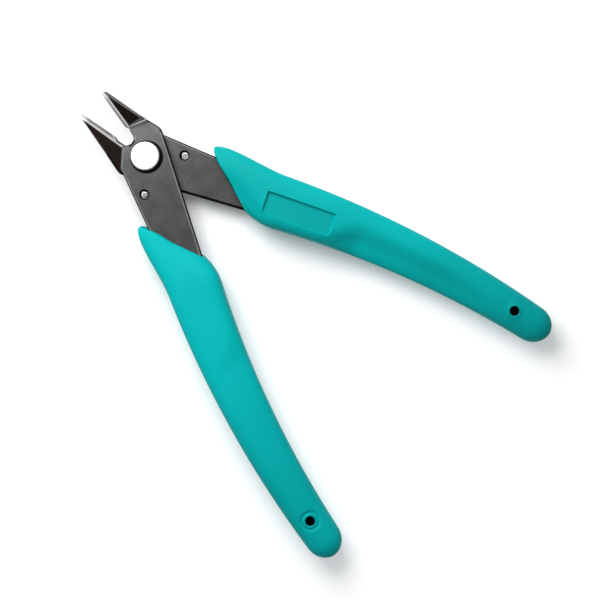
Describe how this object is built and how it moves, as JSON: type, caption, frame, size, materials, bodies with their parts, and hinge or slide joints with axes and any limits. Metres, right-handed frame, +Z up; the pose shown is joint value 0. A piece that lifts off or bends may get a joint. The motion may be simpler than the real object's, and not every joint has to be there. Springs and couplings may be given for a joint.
{
  "type": "flush cutter",
  "caption": "Flush cutter with crossed stamped shear blades on a rivet, a wire return spring and bowed moulded grips, lying open.",
  "frame": {"origin": "on the pivot's axis, at the flat end of the rivet's tail, level with the surface that the tool lies on", "axes": "+Y towards the jaws along the middle of the open tool, +Z up along the pivot's axis towards the rivet's head, +X towards the rear grip's side"},
  "size_m": [0.084, 0.122, 0.0101],
  "materials": {
    "oxide_steel": "grey phosphated plate, ground jaws",
    "bright_steel": "smooth bright plating",
    "spring_steel": "drawn wire",
    "teal_grip": "satin moulded plastic"
  },
  "bodies": {
    "rear_half": {"rear_blade": "oxide_steel", "rear_grip": "teal_grip", "pivot_rivet": "bright_steel", "spring_collar": "bright_steel", "return_spring": "spring_steel"},
    "front_half": {"front_blade": "oxide_steel", "front_grip": "teal_grip"}
  },
  "joints": [
    {"name": "blade_pivot", "type": "hinge", "parent": "rear_half", "child": "front_half", "pos_m": [0, 0, 0.00505], "axis": [0, 0, 1], "range_deg": [0, 24.5], "stiffness_Nm_per_rad": 2.3, "deforming": ["return_spring"]}
  ]
}
